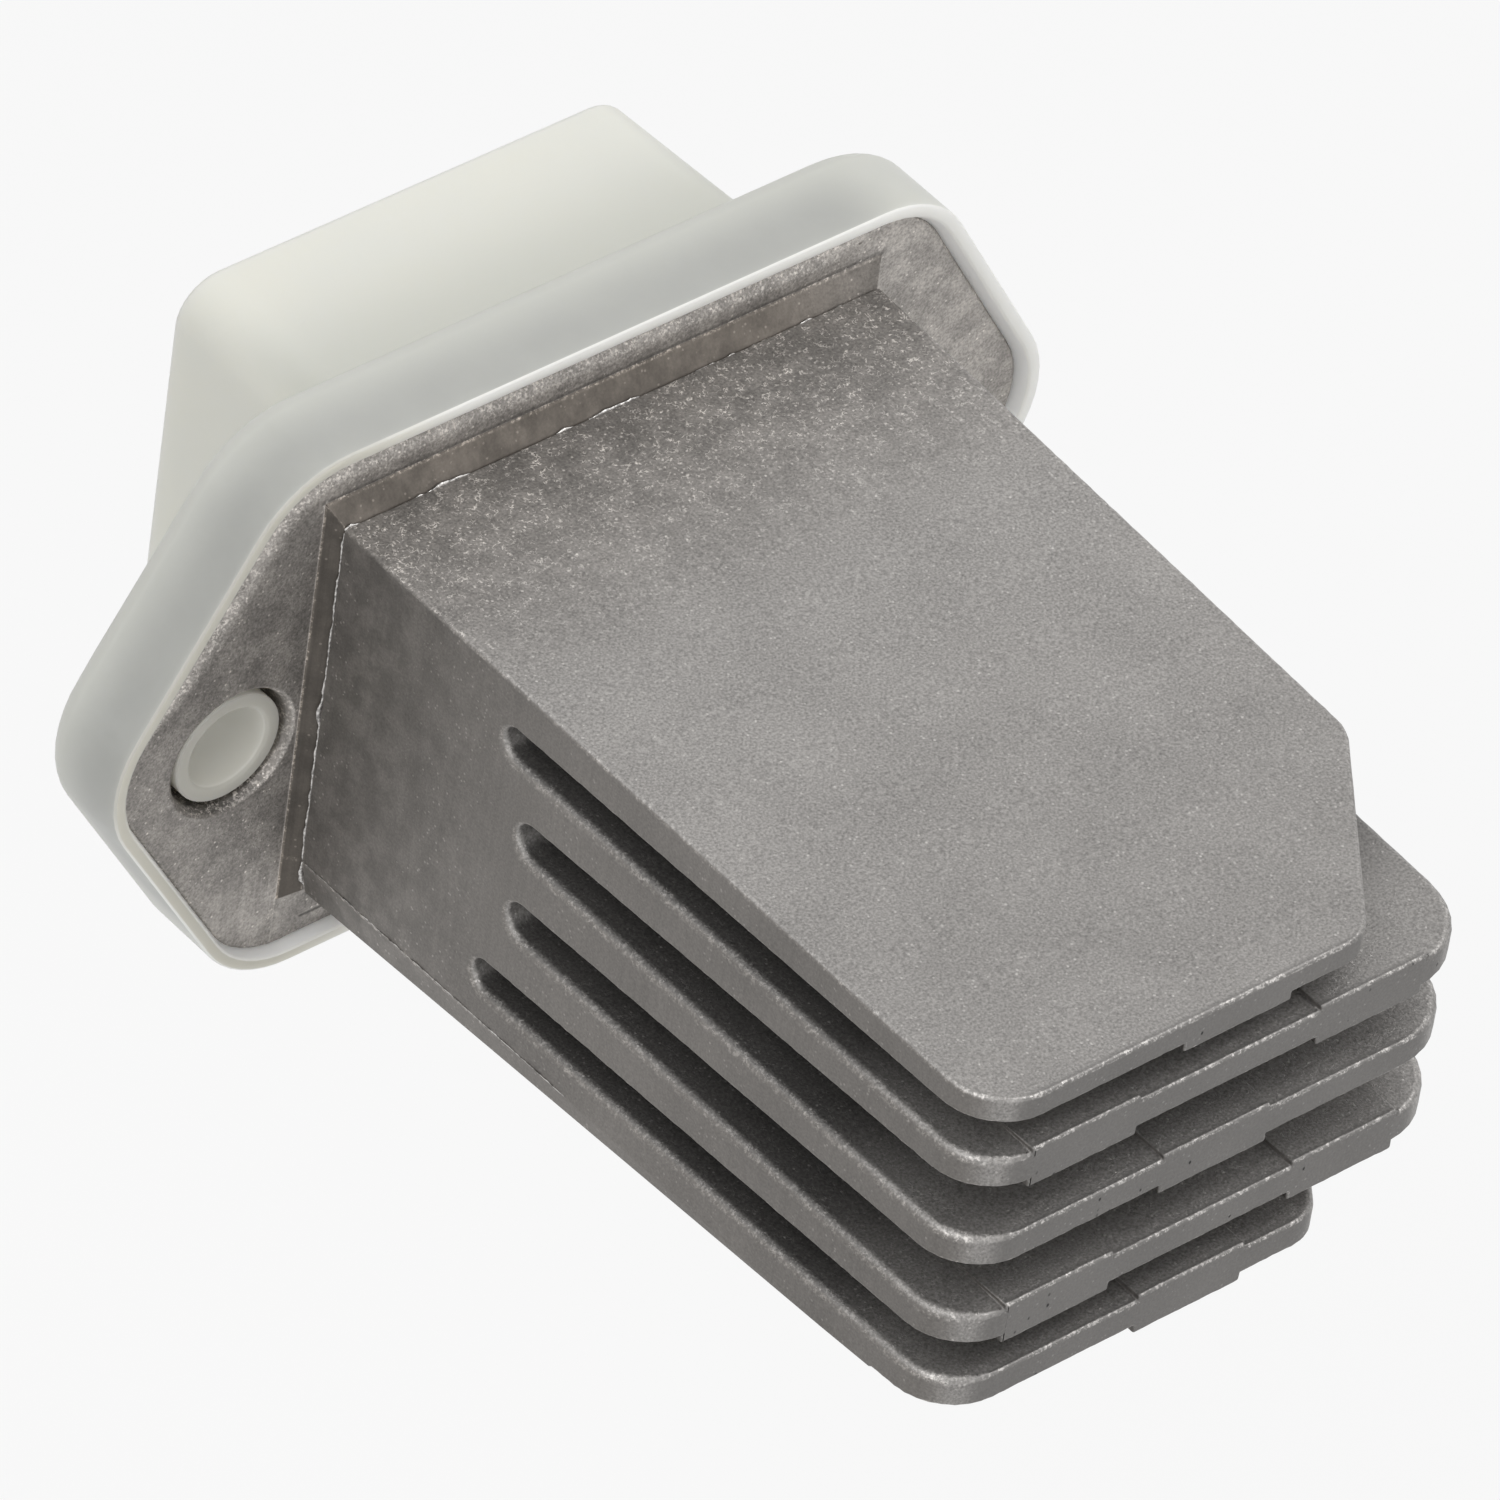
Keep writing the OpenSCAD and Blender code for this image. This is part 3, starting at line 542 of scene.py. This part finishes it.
def add_flash(form, start, end, outward, tall, bare, lump=None):
    """Adds a ridge from start to end that stands up to that height along outward. Its height comes
    from noise, and the share that is bare lies below the surface. A lump is a taller spot."""
    run = end - start
    across = run.cross(outward).normalized() * flash_half_width
    steps = ceil(run.length / flash_step)
    last = None
    for k in range(steps + 1):
        foot = start + run * (k / steps)
        rise = noise.noise(foot * 0.8) * 0.6 + noise.noise(foot * 2.6) * 0.35 + 0.5 - bare
        if lump:
            rise += 1.3 * exp(-((foot - lump).length / 0.7) ** 2)
        taper = min(k, steps - k, 4) / 4
        sway = across * noise.noise(foot * 2.1 + Vector((9, 5, 2)))
        top = foot + outward * (tall * max(rise * taper, -0.3)) + sway
        root = foot - outward * flash_root
        ring = [form.verts.new(point * MM) for point in
                (root - across, top - across * 0.25, top + across * 0.25, root + across)]
        for a, b in zip((0, 1, 2, 3), (1, 2, 3, 0)):
            if last:
                form.faces.new((last[a], last[b], ring[b], ring[a])).smooth = True
        if k in (0, steps):
            form.faces.new(ring)
        last = ring


flash_form = bmesh.new()
left_top = Vector((block_left_x, parting_y, 14.9))
left_lump = Vector((block_left_x, parting_y, 1.3))
add_flash(flash_form, strip_top, left_top, Vector((-1, 0.15, 0)), 0.2, 0.15, left_lump)
add_flash(flash_form, strip_foot, strip_top, Vector((-1, 0.1, 0)), 0.3, -0.2)
for left_x, right_x, bare in ((-20, -18.9, 0), (-14.8, -10.8, 0.3), (-4.4, -3.2, 0), (-2, 1.8, 0.1),
                              (6, 17, 0.7)):
    add_flash(flash_form, Vector((left_x, parting_y, parting_top_z)),
              Vector((right_x, parting_y, parting_top_z)), Vector((0, 0.3, 1)), 0.3, bare)
add_flash(flash_form, strip_top, strip_end, Vector((-0.7, 0, 0.7)), 0.12, -0.1)
bmesh.ops.recalc_face_normals(flash_form, faces=flash_form.faces)
flash_mesh = bpy.data.meshes.new("casting_flash")
flash_form.to_mesh(flash_mesh)
flash_form.free()
flash_mesh.materials.append(bright_aluminium.material)
flash = bpy.data.objects.new("casting_flash", flash_mesh)
bpy.context.scene.collection.objects.link(flash)
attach(flash, "root")

# Power transistors: two black epoxy bodies moulded on tinned copper tabs, in the pocket behind the
# flange. Each is screwed down on a thin pale insulating film with a zinc-plated screw.


def dress(finish, *nodes):
    """Gives solids that are shown as they are a finish."""
    for node in nodes:
        for spot in frame["nodes"][node].material_slots:
            spot.material = finish.material


insulating_film = Finish("insulating_film", {"Specular IOR Level": 0.3})
place = insulating_film.place
insulating_film.set({"Base Color": place.grain(0.8, 3).mixed((0.66, 0.6, 0.48, 1), (0.86, 0.81, 0.7, 1)),
                     "Roughness": 0.5 + 0.2 * place.grain(2, 2)})
dress(insulating_film, "insulating_films")

tinned_copper = Finish("tinned_copper", {"Metallic": 1.0})
place = tinned_copper.place
rolled = place.stretched(6, 6, 0.5).grain(1, 3, 0.6)
dull = 0.6 * rolled + 0.5 * place.grain(0.7, 2)
tinned_copper.set({"Base Color": dull.mixed(grey(0.5, 0.03), grey(0.82, 0.02)),
                   "Roughness": 0.28 + 0.18 * rolled})
tinned_copper.relief(rolled, 0.004)
dress(tinned_copper, "left_transistor_tab", "right_transistor_tab")

black_epoxy = Finish("black_epoxy", {"Specular IOR Level": 0.4})
place = black_epoxy.place
spark = place.grain(9, 2)
black_epoxy.set({"Base Color": place.grain(0.6, 2).mixed(grey(0.012), grey(0.03)),
                 "Roughness": 0.42 + 0.25 * spark})
black_epoxy.relief(spark, 0.012)
dress(black_epoxy, "left_transistor_body", "right_transistor_body")

zinc_plating = Finish("zinc_plating", {"Metallic": 1.0})
place = zinc_plating.place
spangle = place.grain(2.5, 3)
zinc_plating.set({"Base Color": spangle.mixed((0.5, 0.53, 0.56, 1), (0.76, 0.77, 0.78, 1)),
                  "Roughness": 0.25 + 0.2 * spangle})
dress(zinc_plating, "transistor_screws")

# Circuit board: green solder mask over a glass-cloth laminate, screwed to four posts of the casting
# with zinc-plated screws. The weave shows faintly through the mask.
solder_mask = Finish("solder_mask", {"Coat Weight": 0.4, "Coat Roughness": 0.15})
place = solder_mask.place
weave = place.stretched(5, 1, 0.6).grain(1, 1) * place.stretched(0.6, 1, 5).grain(1, 1)
solder_mask.set({"Base Color": weave.rise(0.1, 0.45).mixed((0.012, 0.085, 0.03, 1), (0.03, 0.16, 0.06, 1)),
                 "Roughness": 0.35 + 0.1 * weave})
solder_mask.relief(weave, 0.006)
dress(solder_mask, "circuit_board")
dress(zinc_plating, "board_screws")

# Parts on the board: a smoothing capacitor in a dark sleeve, black diodes and a control chip, a bent
# shunt of resistance wire, and small chip resistors and ceramic capacitors, all soldered down.
capacitor_sleeve = Finish("capacitor_sleeve", {"Coat Weight": 0.3, "Coat Roughness": 0.2})
place = capacitor_sleeve.place
shrink = place.stretched(0.5, 2, 0.5).grain(1, 2)
capacitor_sleeve.set({"Base Color": shrink.mixed((0.014, 0.016, 0.03, 1), (0.04, 0.045, 0.07, 1)),
                      "Roughness": 0.3 + 0.15 * shrink})
capacitor_sleeve.relief(shrink, 0.02)
dress(capacitor_sleeve, "smoothing_capacitor")
dress(black_epoxy, "freewheel_diode", "surge_diode", "control_chip")

resistance_wire = Finish("resistance_wire", {"Metallic": 1.0})
place = resistance_wire.place
drawn = place.stretched(0.6, 5, 5).grain(1, 2)
resistance_wire.set({"Base Color": drawn.mixed((0.42, 0.22, 0.12, 1), (0.72, 0.46, 0.3, 1)),
                     "Roughness": 0.25 + 0.2 * drawn})
dress(resistance_wire, "current_shunt")

resistor_glaze = Finish("resistor_glaze", {"Coat Weight": 0.2})
place = resistor_glaze.place
resistor_glaze.set({"Base Color": place.grain(3, 2).mixed(grey(0.014), grey(0.035)),
                    "Roughness": 0.3 + 0.2 * place.grain(5, 2)})
dress(resistor_glaze, "chip_resistors")

fired_ceramic = Finish("fired_ceramic", {"Specular IOR Level": 0.4})
place = fired_ceramic.place
fired_ceramic.set({"Base Color": place.grain(4, 2).mixed((0.34, 0.22, 0.12, 1), (0.5, 0.36, 0.22, 1)),
                   "Roughness": 0.4 + 0.2 * place.grain(6, 2)})
dress(fired_ceramic, "chip_capacitors")

# Terminals: four blades punched from tinned brass strip, their tails soldered into the board. The
# punch leaves their edges slightly rounded, and the tin shows fine rolling lines.
punched_rounding = 0.08

tinned_brass = Finish("tinned_brass", {"Metallic": 1.0})
place = tinned_brass.place
rolled = place.stretched(8, 0.6, 8).grain(1, 3, 0.6)
dull = 0.5 * rolled + 0.6 * place.grain(0.5, 2)
tinned_brass.set({"Base Color": dull.mixed((0.56, 0.53, 0.45, 1), (0.82, 0.8, 0.74, 1)),
                  "Roughness": 0.24 + 0.16 * rolled})
tinned_brass.relief(rolled, 0.004)


def punched_radius(middle, first, second):
    """Rounding of a blade's edges."""
    return punched_rounding


for node in ("ground_terminal", "control_terminal", "sense_terminal", "motor_terminal"):
    blade = rounded_copy(node, node + "_blade", tinned_brass, punched_radius, punched_rounding)

# Sealant: a bead of grey silicone in the groove under the flange's edge, which bonds the casting to
# the housing and keeps water out.
grey_silicone = Finish("grey_silicone", {"Specular IOR Level": 0.35})
place = grey_silicone.place
grey_silicone.set({"Base Color": place.grain(0.9, 3).mixed(grey(0.07), grey(0.13)),
                   "Roughness": 0.4 + 0.2 * place.grain(3, 2)})
grey_silicone.relief(place.grain(1.5, 2), 0.03)
dress(grey_silicone, "sealant_bead")

# Housing: one moulding of natural nylon, a six-sided rim with a screw tube at each side and a
# box behind it. The unfilled nylon is milky. The dark casting that would show through the thin front
# of the rim is painted into the nylon's colour as a plain grey painted shade, and the thicker back
# stays warm and pale.
rim_front_y = -1.2
rim_back_rounding = 0.6
wall_lean_y = -0.25
wall_lean = 0.22
wall_lean_right = 0.5
wall_foot_y = 0.45
box_end_y = 18.45

natural_nylon = Finish("natural_nylon", {
    "Subsurface Weight": 1.0, "Subsurface Scale": 1.4 * MM, "Subsurface Radius": (1.0, 0.98, 0.95),
    "Specular IOR Level": 0.4})
place = natural_nylon.place
across, along, height = (place.part(axis) for axis in "XYZ")
facing = natural_nylon.normal
rounding_mask = place.node("Attribute", {"attribute_name": "rounding_mask"}, output="Fac")
from_hole = abs(across) - screw_x
boss = (from_hole * from_hole + height * height).rise(30, 20)
inward = (across * facing.part("X") + (height - rim_z) * facing.part("Z")).rise(1, -3)
at_lip = along.rise(0.3, -0.2)
land = at_lip * facing.part("Y").rise(-0.5, -0.8)
wall = at_lip * inward * (1 - land)
# Painted shade: where the casting lies behind the rim's thin front, the nylon is painted grey.
shown_dark = across.rise(23, 17) * height.rise(-15, -9)
over_casting = shown_dark * along.rise(5.5, 0.5) * (1 - at_lip * (1 - facing.part("Y").rise(-0.3, -0.1)))
over_casting = over_casting * (1 - boss) * (1 - wall)

# Tints from the back to the front: the box, its top, the rim, the rim's front and the screw tubes.
tint = place.grain(0.12, 1).mixed((0.83, 0.835, 0.785, 1), (0.87, 0.86, 0.775, 1))
# Painted shade: faces that look up get a darker tint, on the rim's top and most of all on the box's top
# near the rim.
tint = (along.rise(17, 6) * facing.part("Z").rise(0.2, 0.9)).mixed(tint, (0.66, 0.665, 0.61, 1))
rim_tint = facing.part("Z").rise(0.6, 1).mixed((0.74, 0.745, 0.695, 1), (0.68, 0.685, 0.635, 1))
tint = along.rise(6.5, 5).mixed(tint, rim_tint)
tint = (over_casting * (0.7 + 0.3 * place.grain(0.25, 2))).mixed(tint, (0.47, 0.475, 0.455, 1))
land_tint = across.rise(-22, -10).mixed((0.62, 0.605, 0.54, 1), (0.92, 0.91, 0.85, 1))
tint = land.mixed(tint, land_tint)
# Painted light: the lip's inner wall is near white, for light that shines through the thin nylon.
tint = wall.mixed(tint, (0.97, 0.96, 0.9, 1))
tint = boss.mixed(tint, (0.73, 0.72, 0.67, 1))
boss_front = boss * along.rise(0.5, 0.3) * facing.part("Y").rise(-0.3, -0.7)
tint = boss_front.mixed(tint, (0.56, 0.55, 0.5, 1))
# Painted highlight: a pale line along the rim's outer front edge, darker on the upper left.
dim_edge_line = across.rise(-10, -22) * height.rise(-6, 2)
edge_line_tint = dim_edge_line.mixed((0.9, 0.89, 0.83, 1), (0.54, 0.53, 0.485, 1))
natural_nylon.set({"Base Color": (rounding_mask * along.rise(-0.8, -1)).mixed(tint, edge_line_tint),
                   "Roughness": 0.38 + 0.12 * place.grain(1.2, 2)})
natural_nylon.relief(place.grain(1.6, 2), 0.01)


def lean_wall(form):
    """Leans the rim's inner wall in towards the plate, where the plate reaches out to it."""
    wall = []
    for face in form.faces:
        middle = face.calc_center_median() / MM
        looks_in = middle.x * face.normal.x + (middle.z - rim_z) * face.normal.z < -1
        levels = [point.co.y / MM for point in face.verts]
        upright = abs(face.normal.y) < 0.3
        if looks_in and upright and min(levels) < rim_front_y + 0.05 and max(levels) > 0.5:
            wall.append(face)
    for level in (wall_foot_y, wall_lean_y):
        around = dict.fromkeys(part for face in wall for part in (*face.verts, *face.edges))
        cut = bmesh.ops.bisect_plane(form, geom=wall + list(around),
                                     plane_co=(0, level * MM, 0), plane_no=(0, 1, 0))
        wall = [part for part in cut["geom"] if isinstance(part, bmesh.types.BMFace)
                and min(point.co.y for point in part.verts) < (rim_front_y + 0.05) * MM]
    form.normal_update()
    shifts = {}
    for point in dict.fromkeys(point for face in wall for point in face.verts):
        if abs(point.co.y / MM - wall_lean_y) < 0.01:
            lean = wall_lean_right if point.co.x > right_edge_x * MM else wall_lean
            shifts[point] = point.normal * lean * trimmed(point.co / MM) * MM
    for point, shift in shifts.items():
        point.co += shift
    form.normal_update()


def moulding_radius(middle, first, second):
    """Rounding of an edge of the moulding, from where it lies."""
    from_bore = Vector((abs(middle.x) - screw_x, middle.z)).length
    if middle.y < rim_front_y + 0.05:
        return 0.16
    in_groove = 3 < middle.y < 5 and min(first.y, second.y) < -0.5
    if abs(middle.y - wall_lean_y) < 0.1 or in_groove:
        return 0
    if middle.y > box_end_y - 0.05:
        return 0.4
    if from_bore < 4:
        return 0.3 if from_bore < 3.2 else 0.12
    outside = abs(middle.x) > 17.5 or abs(middle.z - rim_z) > 17
    if middle.y > 4 and outside:
        return rim_back_rounding
    return 0.1


housing = rounded_copy("housing", "housing_moulding", natural_nylon, moulding_radius,
                       widest=rim_back_rounding, reshape=lean_wall)

# Studio: a wide pale floor well below the part, a white surrounding, a large soft lamp above the
# fin ends on the right, one on the left and a weak one in front.
floor_z = -120
floor_half = 6000
floor_mesh = bpy.data.meshes.new("floor")
floor_mesh.from_pydata([(x * floor_half * MM, y * floor_half * MM, floor_z * MM)
                        for x, y in ((-1, -1), (1, -1), (1, 1), (-1, 1))], [], [(0, 1, 2, 3)])
floor = bpy.data.objects.new("floor", floor_mesh)
bpy.context.scene.collection.objects.link(floor)
floor_paint = bpy.data.materials.new("pale_floor")
floor_paint.use_nodes = True
tone = Tone(floor_paint.node_tree)


def seen_ray(tone):
    """1 for rays from the camera, a gloss or a clear body, which see the plain white ground."""
    seen = [tone.node("LightPath", output=name) for name in
            ("Is Camera Ray", "Is Glossy Ray", "Is Transmission Ray")]
    return tone.maths("MAXIMUM", seen[0], tone.maths("MAXIMUM", seen[1], seen[2]))


matte = tone.node("BsdfDiffuse", None, {"Color": grey(0.85)})
white = tone.node("Emission", None, {"Color": grey(1.0), "Strength": 1.0})
ground = tone.node("MixShader", None, {0: seen_ray(tone) * 0.8, 1: matte, 2: white})
tone.feed(floor_paint.node_tree.nodes["Material Output"].inputs["Surface"], ground)
floor_mesh.materials.append(floor_paint)

world = bpy.data.worlds.new("surrounding")
world.use_nodes = True
bpy.context.scene.world = world
tone = Tone(world.node_tree)
tone.feed(world.node_tree.nodes["Background"].inputs["Strength"], 0.52 + 0.48 * seen_ray(tone))
world.node_tree.nodes["Background"].inputs["Color"].default_value = grey(1.0)


def soft_lamp(name, direction, distance, size, power):
    """A square lamp that shines on the part from a direction."""
    lamp = bpy.data.lights.new(name, "AREA")
    lamp.size = size * MM
    lamp.energy = power
    holder = bpy.data.objects.new(name, lamp)
    back = Vector(direction).normalized()
    holder.matrix_world = (Matrix.Translation(back * distance * MM)
                           @ back.to_track_quat("Z", "Y").to_matrix().to_4x4())
    bpy.context.scene.collection.objects.link(holder)


soft_lamp("key_lamp", (0.4, -0.35, 0.85), 700, 420, 1.5)
soft_lamp("left_lamp", (-0.65, -0.25, 0.72), 800, 500, 1.5)
soft_lamp("front_lamp", (0.0, -0.97, 0.22), 800, 500, 0.7)

# The camera stands above and to the left of the fin ends, about a metre away, with a long lens.
# It leans to one side, so that the fins run down to the right.
camera_aim = Vector((3.865, -12.513, -4.783))
camera_azimuth = radians(-45.449)
camera_elevation = radians(41.375)
camera_lean = radians(8.692)
camera_distance = 927.8
camera_data = bpy.data.cameras.new("camera")
camera_data.lens = 384
camera_data.sensor_width = 36
camera_data.clip_end = 20
camera = bpy.data.objects.new("camera", camera_data)
camera_turn = (Matrix.Rotation(camera_azimuth, 4, "Z")
               @ Matrix.Rotation(pi / 2 - camera_elevation, 4, "X")
               @ Matrix.Rotation(camera_lean, 4, "Z"))
camera_back = camera_turn.to_3x3() @ Vector((0, 0, 1))
camera.matrix_world = Matrix.Translation((camera_aim + camera_back * camera_distance) * MM) @ camera_turn
bpy.context.scene.collection.objects.link(camera)
bpy.context.scene.camera = camera

bpy.context.scene.view_settings.view_transform = "Standard"
